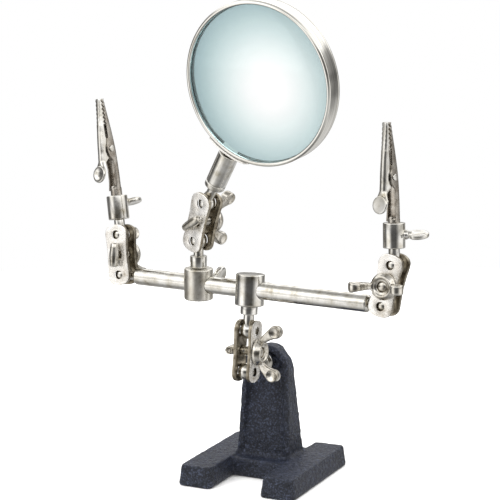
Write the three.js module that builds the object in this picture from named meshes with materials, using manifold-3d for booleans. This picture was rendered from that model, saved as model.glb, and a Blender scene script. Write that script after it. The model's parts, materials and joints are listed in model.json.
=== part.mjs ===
// Helping hands clamp: a cast foot with a column, a cross rod carried on a double ball clamp, an alligator
// clip on a double ball clamp at each end of the rod, and a round magnifier on a third one.
// Millimetres, +Z up, +X to the right, -Y to the front. The origin is on the ground under the column.
import * as THREE from 'three';
import { mergeVertices } from 'three/addons/utils/BufferGeometryUtils.js';
import Module from 'manifold-3d';

const wasm = await Module();
wasm.setup();

// ---------------------------------------------------------------- driving dimensions

// Cast foot and column.
const FOOT_OFFSET = 18.2;
const FOOT_WIDTH = 15.2;
const FOOT_FRONT = -34.2;
const FOOT_BACK = 21;
const FOOT_HEIGHT = 8.4;
const FOOT_DRAFT = 1;
const WEB_FRONT = -13;
const WEB_BACK = 13.4;
const WEB_HEIGHT = 7.6;
const COLUMN_FRONT_BASE = -8;
const COLUMN_FRONT_SLOPE = 0.055;
const COLUMN_HALF_BASE = 12.2;
const COLUMN_HALF_TOP = 10.1;
const COLUMN_SHOULDER = 44.4;
const COLUMN_BACK_BASE = 8.4;
const COLUMN_BACK_SLOPE = 0.16;
const PANEL_RIM = 2.6;
const PANEL_DEPTH_TOP = 3.2;
const PANEL_BOTTOM = 8.8;
const BOSS_RADIUS = 6;
const BOSS_BACK = 4;
const BOSS_FRONT = -3.6;

// Ball studs.
const BALL_RADIUS = 3.4;
const SHANK_RADIUS = 2.2;
const STUD_THREAD_RADIUS = 2.5;
const SPIGOT_RADIUS = 1.9;
const SPIGOT_LENGTH = 1.7;
const BORE_CLEARANCE = 0.12;

// Double ball clamp: two plates on one bolt.
const BALL_SPACING = 16.5;
const PLATE_INNER_FACE = 2.35;
const PLATE_THICKNESS = 1.6;
const PLATE_HALF_WIDTH = 5.1;
const PLATE_END_REACH = 4.2;
const PLATE_WAIST = 0.5;
const SEAT_INNER_RADIUS = 2.72;
const SEAT_OUTER_RADIUS = 1.65;
const BOLT_RADIUS = 2;
const BOLT_TIP = 6.7;
const HEAD_LENGTH = 9.8;
const HEAD_WIDTH = 4;
const HEAD_HEIGHT = 3.6;

// Wing nut.
const FLANGE_RADIUS = 5.3;
const NUT_FACE_RADIUS = 3.9;
const NUT_HEIGHT = 3.4;
const WING_REACH = 8.7;
const WING_RISE = 7.8;
const WING_TIP_RADIUS = 2.7;
const WING_THICKNESS = 2.4;

// Thumb screw.
const SCREW_RADIUS = 1.6;
const BLADE_LENGTH = 8.2;
const BLADE_WIDTH = 9.4;
const CLIP_BLADE_WIDTH = 7.6;
const BLADE_THICKNESS = 2.6;
const CLIP_BLADE_START = 5.3;
const TEE_BLADE_START = 9.5;
const MAG_BLADE_START = 11;

// Rod and the two sleeves on it.
const ROD_RADIUS = 3.5;
const ROD_LEFT = -53.7;
const ROD_RIGHT = 53.1;
const ROD_CHAMFER = 1;
const END_STUD_REACH = 6.2;
const END_BORE_DEPTH = 7;
const SLEEVE_RADIUS = 5.9;
const SLEEVE_HALF = 6.4;

// Where the moving parts sit along the rod and along their studs.
const TEE_STUD_LENGTH = 16.4;
const MAG_SLEEVE_X = -23.8;
const MAG_STUD_LENGTH = 17.8;

// Clip holder and alligator clip.
const SOCKET_START = 6.3;
const SOCKET_LENGTH = 9.8;
const SOCKET_RADIUS = 4.3;
const SOCKET_BORE_RADIUS = 2.6;
const SOCKET_BORE_DEPTH = 8;
const TAIL_RADIUS = 2.35;
const TAIL_LENGTH = 7.4;
const PIVOT_Y = -2.6;
const PIVOT_Z = 17.5;
const PIN_RADIUS = 0.8;
const SHEET = 0.6;
const TIP_Z = 38.3;
const PAD_Y = -8.4;
const PAD_Z = 7.2;
const PAD_RADIUS = 3.5;
const PAD_TILT = 8;
const TEETH_START = 28;
const TOOTH_DEPTH = 0.7;
const BITE_GAP = 0.5;

// Magnifier.
const FERRULE_START = 8.2;
const FERRULE_RADIUS = 4.2;
const LENS_CENTRE = 58.8;
const RIM_OUTER = 32.5;
const RIM_INNER = 31.7;
const RIM_LIP = 30.9;
const RIM_HALF_DEPTH = 4;
const LENS_RADIUS = 31.4;
const SNAP_RING_RADIUS = 30.95;
const LENS_EDGE = 1.1;
const LENS_BULGE = 2.3;
const SADDLE_THICKNESS = 1;
const SADDLE_HALF_WIDTH = 3.4;
const SADDLE_HALF_ANGLE = 17.5;

// The pose, in degrees.
const BASE_STUD_ROLL = 0.1;
const BASE_CLAMP_LEAN = 6.7;
const TEE_STUD_LEAN = -1;
const ROD_YAW = 4.2;
const LEFT_STUD_TURN = 2.9;
const LEFT_CLAMP_LEAN = -9.2;
const LEFT_CLIP_LEAN = -2.3;
const LEFT_SOCKET_TURN = -14;
// A clip screw's height in its socket, its turn about the socket and the angle of its blade.
const LEFT_SCREW_POSE = [7.2, 5, 102];
const LEFT_CLIP_RAISED = 1.8;
const RIGHT_STUD_TURN = -0.9;
const RIGHT_CLAMP_LEAN = 11.7;
const RIGHT_CLIP_LEAN = -15;
const RIGHT_SOCKET_TURN = -13;
const RIGHT_SCREW_POSE = [5.2, -62, 75];
const TEE_BLADE_ANGLE = 70;
const MAG_BLADE_ANGLE = -20;
const MAG_SLEEVE_TURN = -5.1;
const MAG_CLAMP_TURN = -15;
const MAG_CLAMP_LEAN = 17.4;
const MAG_HANDLE_LEAN = 13.7;
const MAG_HEAD_TURN = 13.9;
const BASE_STUD = [0, -23.4, 47.8];

// ---------------------------------------------------------------- materials

const castPaint = new THREE.MeshStandardMaterial({ color: 0x34383d, roughness: 0.62, metalness: 0.15 });
const plated = new THREE.MeshStandardMaterial({ color: 0xc6c5be, roughness: 0.2, metalness: 1 });
const platedSheet = new THREE.MeshStandardMaterial({ color: 0xb9b4b0, roughness: 0.3, metalness: 1 });
const springSteel = new THREE.MeshStandardMaterial({ color: 0x8f8f8c, roughness: 0.35, metalness: 1 });
const glass = new THREE.MeshStandardMaterial({ color: 0xdfe9ea, roughness: 0.04, metalness: 0 });

// ---------------------------------------------------------------- solids

// Turns a closed geometry into a solid.
function solid(geometry) {
  const bare = geometry.clone();
  bare.deleteAttribute('normal');
  bare.deleteAttribute('uv');
  const merged = mergeVertices(bare, 1e-4);
  const index = merged.index.array;
  const kept = [];
  for (let i = 0; i < index.length; i += 3) {
    const [a, b, c] = [index[i], index[i + 1], index[i + 2]];
    if (a !== b && b !== c && c !== a) kept.push(a, b, c);
  }
  return new wasm.Manifold(new wasm.Mesh({
    numProp: 3,
    vertProperties: new Float32Array(merged.attributes.position.array),
    triVerts: new Uint32Array(kept),
  }));
}

function joined(first, ...others) {
  return others.reduce((sum, other) => sum.add(other), first);
}

function cut(body, ...tools) {
  return tools.reduce((rest, tool) => rest.subtract(tool), body);
}

// A turned solid about the named axis. The profile lists [radius, distance along the axis].
function turned(profile, axis = 'z', segments = 14) {
  const points = profile.map(([r, t]) => new THREE.Vector2(r, t));
  const geometry = new THREE.LatheGeometry(points, segments);
  if (axis === 'z') geometry.rotateX(Math.PI / 2);
  if (axis === 'x') geometry.rotateZ(-Math.PI / 2);
  return geometry;
}

function cylinder(radius, from, to, axis = 'z', segments = 14) {
  return turned([[0, from], [radius, from], [radius, to], [0, to]], axis, segments);
}

// A cylinder with both rims chamfered.
function softCylinder(radius, from, to, chamfer, axis = 'z', segments = 20) {
  return turned([
    [0, from], [radius - chamfer, from], [radius, from + chamfer],
    [radius, to - chamfer], [radius - chamfer, to], [0, to],
  ], axis, segments);
}

function box(x0, x1, y0, y1, z0, z1) {
  const geometry = new THREE.BoxGeometry(x1 - x0, y1 - y0, z1 - z0);
  return geometry.translate((x0 + x1) / 2, (y0 + y1) / 2, (z0 + z1) / 2);
}

// An outline in X and Z given thickness along Y, from y0 to y1.
function slab(shape, y0, y1, curveSegments = 8) {
  const geometry = new THREE.ExtrudeGeometry(shape, { depth: y1 - y0, bevelEnabled: false, curveSegments });
  return geometry.rotateX(Math.PI / 2).translate(0, y1, 0);
}

function addPiece(frame, name, body, material) {
  const data = body.getMesh();
  const geometry = new THREE.BufferGeometry();
  geometry.setAttribute('position', new THREE.BufferAttribute(new Float32Array(data.vertProperties), 3));
  geometry.setIndex(new THREE.BufferAttribute(new Uint32Array(data.triVerts), 1));
  geometry.computeVertexNormals();
  const mesh = new THREE.Mesh(geometry, material);
  mesh.name = name;
  frame.add(mesh);
}

// A child frame moved by offset and turned about its own x, y or z axis.
function frameIn(parent, offset, axis = 'z', degrees = 0) {
  const frame = new THREE.Group();
  frame.position.set(...offset);
  frame.rotation[axis] = THREE.MathUtils.degToRad(degrees);
  parent.add(frame);
  return frame;
}

// ---------------------------------------------------------------- cast foot

function roundedRectangle(halfX, y0, y1, radius) {
  const shape = new THREE.Shape();
  shape.moveTo(-halfX + radius, y0);
  shape.lineTo(halfX - radius, y0);
  shape.absarc(halfX - radius, y0 + radius, radius, -Math.PI / 2, 0);
  shape.absarc(halfX - radius, y1 - radius, radius, 0, Math.PI / 2);
  shape.absarc(-halfX + radius, y1 - radius, radius, Math.PI / 2, Math.PI);
  shape.absarc(-halfX + radius, y0 + radius, radius, Math.PI, 1.5 * Math.PI);
  return shape;
}

// A foot bar along Y. Its sides lean in towards the top.
function footBar(x) {
  const shape = roundedRectangle(FOOT_WIDTH / 2, FOOT_FRONT, FOOT_BACK, 2);
  const geometry = new THREE.ExtrudeGeometry(shape, {
    depth: FOOT_HEIGHT, bevelEnabled: false, curveSegments: 3,
  });
  const middle = (FOOT_FRONT + FOOT_BACK) / 2;
  const half = (FOOT_BACK - FOOT_FRONT) / 2;
  const position = geometry.attributes.position;
  for (let i = 0; i < position.count; i += 1) {
    if (position.getZ(i) > FOOT_HEIGHT / 2) {
      position.setX(i, position.getX(i) * (1 - 2 * FOOT_DRAFT / FOOT_WIDTH));
      position.setY(i, middle + (position.getY(i) - middle) * (1 - FOOT_DRAFT / half));
    }
  }
  return geometry.translate(x, 0, 0);
}

// The tombstone outline of the column, drawn inwards by inset, from the height bottom up.
function columnOutline(inset, bottom) {
  const slope = (COLUMN_HALF_BASE - COLUMN_HALF_TOP) / COLUMN_SHOULDER;
  const half = COLUMN_HALF_BASE - slope * bottom - inset;
  const top = COLUMN_HALF_TOP - inset;
  const shape = new THREE.Shape();
  shape.moveTo(-half, bottom);
  shape.lineTo(half, bottom);
  shape.lineTo(top, COLUMN_SHOULDER);
  shape.absarc(0, COLUMN_SHOULDER, top, 0, Math.PI);
  shape.lineTo(-half, bottom);
  return shape;
}

const columnFront = (z) => COLUMN_FRONT_BASE + COLUMN_FRONT_SLOPE * z;
const columnBack = (z) => COLUMN_BACK_BASE - COLUMN_BACK_SLOPE * z;

// A slab of the column outline whose front and back faces follow the given slopes.
function slopedSlab(shape, frontAt, backAt) {
  const geometry = slab(shape, -1, 1, 16);
  const position = geometry.attributes.position;
  for (let i = 0; i < position.count; i += 1) {
    const faceAt = position.getY(i) < 0 ? frontAt : backAt;
    position.setY(i, faceAt(position.getZ(i)));
  }
  return geometry;
}

// The recess of the front panel runs out towards the foot.
const panelDepth = (z) => PANEL_DEPTH_TOP * z / COLUMN_SHOULDER;

function castFoot() {
  const studZ = BASE_STUD[2];
  const boss = solid(cylinder(BOSS_RADIUS, BOSS_FRONT, BOSS_BACK, 'y', 20).translate(0, 0, studZ));
  const column = solid(slopedSlab(columnOutline(0, 0), columnFront, columnBack));
  const panel = solid(slopedSlab(
    columnOutline(PANEL_RIM, PANEL_BOTTOM), (z) => columnFront(z) - 2, (z) => columnFront(z) + panelDepth(z),
  ));
  const body = joined(
    cut(column, panel),
    solid(footBar(-FOOT_OFFSET)),
    solid(footBar(FOOT_OFFSET)),
    solid(box(-FOOT_OFFSET + 4, FOOT_OFFSET - 4, WEB_FRONT, WEB_BACK, 0, WEB_HEIGHT)),
    boss,
  );
  return cut(body, solid(cylinder(STUD_THREAD_RADIUS + BORE_CLEARANCE, -12, 12, 'y').translate(0, 0, studZ)));
}

// ---------------------------------------------------------------- ball studs

// The profile of a ball at the origin running into a shank, up to the height neckTop.
function ballProfile(shank, neckTop) {
  const points = [[0, -BALL_RADIUS]];
  const end = Math.PI - Math.asin(shank / BALL_RADIUS);
  for (let i = 1; i <= 6; i += 1) {
    const angle = end * i / 6;
    points.push([BALL_RADIUS * Math.sin(angle), -BALL_RADIUS * Math.cos(angle)]);
  }
  points.push([shank, neckTop]);
  return points;
}

// A ball stud with a wider collar below its seat and a spigot beyond it.
function collarStud(seat, collarRadius, collarHeight, shank, axis) {
  return solid(turned([
    ...ballProfile(shank, seat - collarHeight),
    [collarRadius, seat - collarHeight],
    [collarRadius, seat],
    [SPIGOT_RADIUS, seat],
    [SPIGOT_RADIUS, seat + SPIGOT_LENGTH],
    [0, seat + SPIGOT_LENGTH],
  ], axis));
}

// The stud of the foot: its collar bears on the boss and its thread takes the nut behind the column.
function baseStud() {
  const seat = BOSS_FRONT - BASE_STUD[1] - 0.25;
  const end = BOSS_BACK - BASE_STUD[1] + 5.4;
  return solid(turned([
    ...ballProfile(SHANK_RADIUS, seat - 3.4),
    [4, seat - 3.4],
    [4, seat],
    [STUD_THREAD_RADIUS, seat],
    [STUD_THREAD_RADIUS, end - 0.6],
    [STUD_THREAD_RADIUS - 0.6, end],
    [0, end],
  ], 'y'));
}

// A ball stud that turns in the bore at one end of the rod; side is +1 when the rod lies towards +X.
function endStud(side) {
  const geometry = turned([
    ...ballProfile(1.7, END_STUD_REACH + END_BORE_DEPTH - 0.6),
    [0, END_STUD_REACH + END_BORE_DEPTH - 0.6],
  ], 'x');
  if (side < 0) geometry.rotateZ(Math.PI);
  return solid(geometry);
}

// ---------------------------------------------------------------- double ball clamp

// A clamp plate in X and Z between y0 and y0 + thickness, with conical ball seats and a bolt hole.
function clampPlate(side) {
  const inner = side * PLATE_INNER_FACE;
  const outer = side * (PLATE_INNER_FACE + PLATE_THICKNESS);
  const middle = BALL_SPACING / 2;
  const [half, reach] = [PLATE_HALF_WIDTH, PLATE_END_REACH];
  const waist = half - PLATE_WAIST;
  const shape = new THREE.Shape();
  shape.absellipse(0, 0, half, reach, Math.PI, 2 * Math.PI);
  shape.quadraticCurveTo(waist, middle, half, BALL_SPACING);
  shape.absellipse(0, BALL_SPACING, half, reach, 0, Math.PI);
  shape.quadraticCurveTo(-waist, middle, -half, 0);
  const plate = solid(slab(shape, Math.min(inner, outer), Math.max(inner, outer), 6));
  const slope = (SEAT_INNER_RADIUS - SEAT_OUTER_RADIUS) / PLATE_THICKNESS;
  const seat = [
    [0, PLATE_INNER_FACE - 0.5],
    [SEAT_INNER_RADIUS + slope * 0.5, PLATE_INNER_FACE - 0.5],
    [SEAT_OUTER_RADIUS - slope * 0.5, PLATE_INNER_FACE + PLATE_THICKNESS + 0.5],
    [0, PLATE_INNER_FACE + PLATE_THICKNESS + 0.5],
  ];
  const seats = [0, BALL_SPACING].map((z) => {
    const geometry = turned(seat, 'y');
    if (side < 0) geometry.rotateX(Math.PI);
    return solid(geometry.translate(0, 0, z));
  });
  const boltHole = solid(cylinder(BOLT_RADIUS + 0.2, -6, 6, 'y').translate(0, 0, middle));
  return cut(plate, ...seats, boltHole);
}

// The clamp bolt. Its oblong head lies against one plate, turned by headAngle from upright.
function clampBolt(nutSide, headAngle) {
  const face = PLATE_INNER_FACE + PLATE_THICKNESS + 0.25;
  const shape = new THREE.Shape();
  const run = HEAD_LENGTH / 2 - HEAD_WIDTH / 2;
  shape.absarc(0, -run, HEAD_WIDTH / 2 - 0.5, Math.PI, 2 * Math.PI);
  shape.absarc(0, run, HEAD_WIDTH / 2 - 0.5, 0, Math.PI);
  const head = new THREE.ExtrudeGeometry(shape, {
    depth: HEAD_HEIGHT - 1, bevelEnabled: true, bevelThickness: 0.5, bevelSize: 0.5, bevelSegments: 1,
    curveSegments: 5,
  });
  head.rotateX(Math.PI / 2).translate(0, -face - 0.5, 0);
  head.rotateY(THREE.MathUtils.degToRad(headAngle));
  const shank = turned([
    [0, -face - 1], [BOLT_RADIUS, -face - 1], [BOLT_RADIUS, BOLT_TIP - 0.6],
    [BOLT_RADIUS - 0.6, BOLT_TIP], [0, BOLT_TIP],
  ], 'y');
  const parts = [head, shank].map((geometry) => {
    if (nutSide < 0) geometry.rotateX(Math.PI);
    return solid(geometry.translate(0, 0, BALL_SPACING / 2));
  });
  return joined(...parts);
}

// A wing nut about Y, seated at y = 0 with its wings standing away towards +Y.
function wingNutGeometry() {
  const hub = solid(turned([
    [0, 0], [FLANGE_RADIUS - 0.5, 0], [FLANGE_RADIUS, 0.5], [FLANGE_RADIUS, 1.6],
    [NUT_FACE_RADIUS + 0.7, 2.7],
    [NUT_FACE_RADIUS, NUT_HEIGHT], [BOLT_RADIUS + 1, NUT_HEIGHT - 0.5], [0, NUT_HEIGHT - 0.5],
  ], 'y', 18));
  const wings = [1, -1].map((side) => {
    const shape = new THREE.Shape();
    const tip = (angle) => [
      WING_REACH + WING_TIP_RADIUS * Math.cos(angle),
      WING_RISE + WING_TIP_RADIUS * Math.sin(angle),
    ];
    shape.moveTo(3.6, 0.7);
    shape.lineTo(5, 0.9);
    shape.quadraticCurveTo(6.8, 2.2, ...tip(-1.1));
    for (let i = 1; i <= 8; i += 1) {
      shape.lineTo(...tip(-1.1 + (Math.PI + 1.1) * i / 8));
    }
    shape.quadraticCurveTo(5.2, 4.6, 3.6, 2.6);
    const geometry = new THREE.ExtrudeGeometry(shape, {
      depth: WING_THICKNESS, bevelEnabled: false, curveSegments: 3,
    });
    geometry.translate(0, 0, -WING_THICKNESS / 2);
    if (side < 0) geometry.rotateY(Math.PI);
    return solid(geometry);
  });
  return cut(joined(hub, ...wings), solid(cylinder(BOLT_RADIUS + BORE_CLEARANCE, -1, NUT_HEIGHT + 1, 'y')));
}

// The plates, bolt and wing nut of one clamp. The nut sits on the side of y given by nutSide.
function addClamp(frame, prefix, nutSide, headAngle, wingAngle) {
  addPiece(frame, `${prefix}_plate_front`, clampPlate(-1), platedSheet);
  addPiece(frame, `${prefix}_plate_back`, clampPlate(1), platedSheet);
  addPiece(frame, `${prefix}_bolt`, clampBolt(nutSide, headAngle), plated);
  const seat = nutSide * (PLATE_INNER_FACE + PLATE_THICKNESS + 0.25);
  const side = frameIn(frame, [0, seat, BALL_SPACING / 2], 'z', nutSide < 0 ? 180 : 0);
  const turn = frameIn(side, [0, 0, 0], 'y', wingAngle);
  addPiece(turn, `${prefix}_wing_nut`, wingNutGeometry(), plated);
}

// ---------------------------------------------------------------- rod, sleeves and screws

function rod() {
  const body = solid(softCylinder(ROD_RADIUS, ROD_LEFT, ROD_RIGHT, ROD_CHAMFER, 'x', 24));
  const bore = 1.7 + BORE_CLEARANCE;
  return cut(
    body,
    solid(cylinder(bore, ROD_LEFT - 1, ROD_LEFT + END_BORE_DEPTH, 'x')),
    solid(cylinder(bore, ROD_RIGHT - END_BORE_DEPTH, ROD_RIGHT + 1, 'x')),
  );
}

// A barrel about Z crossed by the rod along X. The stud's spigot enters from below or above.
function sleeve(studSide) {
  const end = studSide * SLEEVE_HALF;
  const spigotEnd = end - studSide * (SPIGOT_LENGTH + 0.3);
  return cut(
    solid(softCylinder(SLEEVE_RADIUS, -SLEEVE_HALF, SLEEVE_HALF, 0.7, 'z', 24)),
    solid(cylinder(ROD_RADIUS + BORE_CLEARANCE, -8, 8, 'x', 24)),
    solid(cylinder(SCREW_RADIUS + BORE_CLEARANCE, 0, 8, 'y', 12)),
    solid(cylinder(
      SPIGOT_RADIUS + BORE_CLEARANCE,
      Math.min(spigotEnd, end + studSide),
      Math.max(spigotEnd, end + studSide),
      'z',
      12,
    )),
  );
}

// A thumb screw about +Y from tip to the far edge of its flat blade, turned by bladeAngle from upright.
function thumbScrew(tip, bladeStart, bladeAngle, width = BLADE_WIDTH) {
  const shank = solid(turned([
    [0, tip], [SCREW_RADIUS - 0.4, tip], [SCREW_RADIUS, tip + 0.4],
    [SCREW_RADIUS, bladeStart + 1.5], [0, bladeStart + 1.5],
  ], 'y', 12));
  const half = width / 2 - 0.4;
  const reach = BLADE_LENGTH - 0.8;
  const shape = new THREE.Shape();
  shape.moveTo(1.7, 0);
  shape.bezierCurveTo(3.2, 0.2, half, 1.4, half, 3);
  shape.bezierCurveTo(half, 5.6, 2.6, reach, 0, reach);
  shape.bezierCurveTo(-2.6, reach, -half, 5.6, -half, 3);
  shape.bezierCurveTo(-half, 1.4, -3.2, 0.2, -1.7, 0);
  const blade = new THREE.ExtrudeGeometry(shape, {
    depth: BLADE_THICKNESS - 0.8, bevelEnabled: true, bevelThickness: 0.4, bevelSize: 0.4, bevelSegments: 1,
    curveSegments: 4,
  });
  blade.translate(0, bladeStart + 0.4, 0.4 - BLADE_THICKNESS / 2);
  blade.rotateY(THREE.MathUtils.degToRad(90 - bladeAngle));
  return joined(shank, solid(blade));
}

// ---------------------------------------------------------------- alligator clip

// A bent-sheet channel lofted through sections [z, half width, open edge y, closed face y].
function channel(sections) {
  const positions = [];
  const indices = [];
  const rings = sections.map(([z, half, open, closed]) => {
    const inward = Math.sign(open - closed);
    const depth = Math.abs(open - closed);
    const corner = Math.min(0.8, half * 0.5, depth * 0.5);
    const floor = closed + inward * Math.min(SHEET, depth - 0.15);
    const ring = [
      [-half, open], [-half, closed + inward * corner], [-half + corner, closed], [half - corner, closed],
      [half, closed + inward * corner], [half, open], [half - SHEET, open], [half - SHEET, floor],
      [-half + SHEET, floor], [-half + SHEET, open],
    ];
    if (inward < 0) ring.reverse();
    return ring.map(([x, y]) => [x, y, z]);
  });
  rings.forEach((ring) => ring.forEach((point) => positions.push(...point)));
  const count = rings[0].length;
  for (let s = 0; s < rings.length - 1; s += 1) {
    for (let i = 0; i < count; i += 1) {
      const j = (i + 1) % count;
      const [a, b, c, d] = [s * count + i, s * count + j, (s + 1) * count + j, (s + 1) * count + i];
      indices.push(a, b, c, a, c, d);
    }
  }
  const last = (rings.length - 1) * count;
  const outline = rings[0].map(([x, y]) => new THREE.Vector2(x, y));
  THREE.ShapeUtils.triangulateShape(outline, []).forEach(([a, b, c]) => {
    indices.push(a, c, b, last + a, last + b, last + c);
  });
  const geometry = new THREE.BufferGeometry();
  geometry.setAttribute('position', new THREE.Float32BufferAttribute(positions, 3));
  geometry.setIndex(indices);
  return solid(geometry);
}

// The line on which the jaws meet near their tips.
const bite = (z) => -4.3 + (TIP_Z - z) * 0.03;

// Sections through the teeth, whose points stand out towards -Y by turns.
function toothSections(open, closed, half) {
  const teeth = 5;
  const sections = [];
  for (let i = 0; i <= 2 * teeth; i += 1) {
    const z = TEETH_START + (TIP_Z - TEETH_START) * i / (2 * teeth);
    sections.push([z, half(z), open(z) + (i % 2 ? -TOOTH_DEPTH : TOOTH_DEPTH) / 2, closed(z)]);
  }
  return sections;
}

const fixedBack = (z) => 1.1 - 0.0029 * z ** 2;
const fixedHalf = (z) => 2.6 - 0.045 * Math.max(0, z - 18);

function fixedJaw() {
  const openEdge = [
    [0.4, -1.6], [4, -1.2], [9, -1.2], [12.5, -1.9], [15, -4], [16.4, -4.6], [18.6, -4.6], [20.5, -4],
    [23, -3.6], [26, -3.7],
  ];
  const body = channel([
    ...openEdge.map(([z, open]) => [z, fixedHalf(z), open, fixedBack(z)]),
    ...toothSections((z) => bite(z) + BITE_GAP / 2, fixedBack, fixedHalf),
  ]);
  const tail = solid(turned([
    [0, -TAIL_LENGTH], [TAIL_RADIUS - 0.4, -TAIL_LENGTH], [TAIL_RADIUS, -TAIL_LENGTH + 0.4],
    [TAIL_RADIUS, 1.4], [TAIL_RADIUS - 0.7, 2.4], [0, 2.4],
  ]));
  return cut(joined(body, tail), pivotBore());
}

// The ridge along the closed side of the moving jaw.
const ridge = (z) => -7.3 + 0.086 * Math.max(0, z - 17);
const movingHalf = (z) => 1.7 - 0.022 * Math.max(0, z - 20);

function movingJaw() {
  const sections = [
    [6.4, 1.5, -7.7, -8.55], [9.6, 1.5, -7, -7.95], [11.2, 1.6, -6.3, -7.75], [13, 1.7, -4.6, -7.55],
    [14.8, 1.7, -1.9, -7.4], [16.2, 1.7, -1.2, -7.3], [18.8, 1.7, -1.2, ridge(18.8)],
    [20.4, 1.7, -2.4, ridge(20.4)],
    [22.4, movingHalf(22.4), -4.5, ridge(22.4)], [26, movingHalf(26), -4.7, ridge(26)],
  ];
  const body = channel([
    ...sections,
    ...toothSections((z) => bite(z) - BITE_GAP / 2, ridge, movingHalf),
  ]);
  const pad = turned([
    [0, -0.45], [PAD_RADIUS - 0.3, -0.45], [PAD_RADIUS, -0.15], [PAD_RADIUS, 0.35],
    [PAD_RADIUS - 0.4, 0.55], [1.1, 0.25], [0, 0.25],
  ], 'y', 18);
  pad.rotateX(THREE.MathUtils.degToRad(-PAD_TILT)).translate(0, PAD_Y, PAD_Z);
  return cut(joined(body, solid(pad)), pivotBore());
}

function pivotBore() {
  return solid(cylinder(PIN_RADIUS + 0.08, -5, 5, 'x', 12).translate(0, PIVOT_Y, PIVOT_Z));
}

function pivotPin() {
  return solid(turned([
    [0, -3.2], [1.2, -3.2], [1.35, -3], [1.35, -2.75], [PIN_RADIUS, -2.75],
    [PIN_RADIUS, 2.75], [1.35, 2.75], [1.35, 3], [1.2, 3.2], [0, 3.2],
  ], 'x', 12).translate(0, PIVOT_Y, PIVOT_Z));
}

// A torsion spring round the pin: two turns of wire with a leg against each jaw.
class SpringPath extends THREE.Curve {
  getPoint(t) {
    const turns = 2.3;
    const angle = -0.6 + 2 * Math.PI * turns * t;
    return new THREE.Vector3(
      -0.85 + 1.7 * t,
      PIVOT_Y + 1.45 * Math.cos(angle),
      PIVOT_Z + 1.45 * Math.sin(angle),
    );
  }
}

function torsionSpring() {
  const wire = new THREE.Shape();
  wire.absarc(0, 0, 0.3, 0, 2 * Math.PI);
  const geometry = new THREE.ExtrudeGeometry(wire, {
    steps: 26, curveSegments: 3, extrudePath: new SpringPath(),
  });
  return solid(geometry);
}

function clipSocket(screwHeight) {
  return cut(
    solid(softCylinder(SOCKET_RADIUS, 0, SOCKET_LENGTH, 0.45, 'z', 20)),
    solid(cylinder(SOCKET_BORE_RADIUS, SOCKET_LENGTH - SOCKET_BORE_DEPTH, SOCKET_LENGTH + 1)),
    solid(cylinder(SPIGOT_RADIUS + BORE_CLEARANCE, -1, 1.3)),
    solid(cylinder(SCREW_RADIUS + BORE_CLEARANCE, 1, 6, 'y', 12).translate(0, 0, screwHeight)),
  );
}

// The stud, socket, screw and alligator clip on the upper ball of an end clamp. The screw is an array of its
// height, turn and blade angle. The clip's tail is pulled out of its socket by the distance raised.
function addClip(clampFrame, side, lean, turn, screwPose, raised) {
  const [screwHeight, screwTurn, bladeAngle] = screwPose;
  const stud = frameIn(clampFrame, [0, 0, BALL_SPACING], 'y', lean);
  addPiece(stud, `${side}_clip_ball_stud`, solid(turned([
    ...ballProfile(SHANK_RADIUS, SOCKET_START - 0.2),
    [SPIGOT_RADIUS, SOCKET_START - 0.2],
    [SPIGOT_RADIUS, SOCKET_START + 1],
    [0, SOCKET_START + 1],
  ])), plated);
  const socket = frameIn(stud, [0, 0, SOCKET_START], 'z', turn);
  const screw = frameIn(socket, [0, 0, screwHeight], 'z', screwTurn);
  const holed = frameIn(socket, [0, 0, 0], 'z', screwTurn);
  addPiece(holed, `${side}_clip_socket`, clipSocket(screwHeight), plated);
  addPiece(
    screw, `${side}_clip_thumb_screw`,
    thumbScrew(TAIL_RADIUS + 0.3, CLIP_BLADE_START, bladeAngle, CLIP_BLADE_WIDTH), plated,
  );
  const clip = frameIn(socket, [0, 0, SOCKET_LENGTH + raised]);
  addPiece(clip, `${side}_clip_fixed_jaw`, fixedJaw(), platedSheet);
  addPiece(clip, `${side}_clip_moving_jaw`, movingJaw(), platedSheet);
  addPiece(clip, `${side}_clip_pin`, pivotPin(), plated);
  addPiece(clip, `${side}_clip_spring`, torsionSpring(), springSteel);
}

// ---------------------------------------------------------------- magnifier

function magnifierRim() {
  const [back, front] = [RIM_HALF_DEPTH, -RIM_HALF_DEPTH];
  return solid(turned([
    [RIM_LIP, front], [RIM_OUTER - 0.5, front], [RIM_OUTER, front + 0.5], [RIM_OUTER, back - 0.4],
    [RIM_OUTER - 0.4, back], [RIM_INNER, back], [RIM_INNER, front + 1], [RIM_LIP, front + 1],
    [RIM_LIP, front],
  ], 'y', 60));
}

// A biconvex lens seated behind the front lip of the rim.
function magnifierLens() {
  const middle = -RIM_HALF_DEPTH + 1.2 + LENS_EDGE;
  const profile = [];
  for (let i = 0; i <= 4; i += 1) {
    const r = (LENS_RADIUS - 0.2) * i / 4;
    profile.push([r, middle - LENS_EDGE - LENS_BULGE * (1 - (i / 4) ** 2)]);
  }
  for (let i = 4; i >= 0; i -= 1) {
    const r = (LENS_RADIUS - 0.2) * i / 4;
    profile.push([r, middle + LENS_EDGE + LENS_BULGE * (1 - (i / 4) ** 2)]);
  }
  return solid(turned(profile, 'y', 36));
}

// The snap ring that keeps the lens in, a round wire open at the foot.
function retainingRing() {
  const wire = new THREE.Shape();
  wire.absarc(0, 0, 0.55, 0, 2 * Math.PI);
  class RingPath extends THREE.Curve {
    getPoint(t) {
      const angle = -Math.PI / 2 + 0.12 + (2 * Math.PI - 0.24) * t;
      return new THREE.Vector3(SNAP_RING_RADIUS * Math.cos(angle), 0, SNAP_RING_RADIUS * Math.sin(angle));
    }
  }
  const geometry = new THREE.ExtrudeGeometry(wire, {
    steps: 48, curveSegments: 2, extrudePath: new RingPath(),
  });
  geometry.translate(0, -RIM_HALF_DEPTH + 1.2 + 2 * LENS_EDGE + 0.8, 0);
  return solid(geometry);
}

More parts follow.
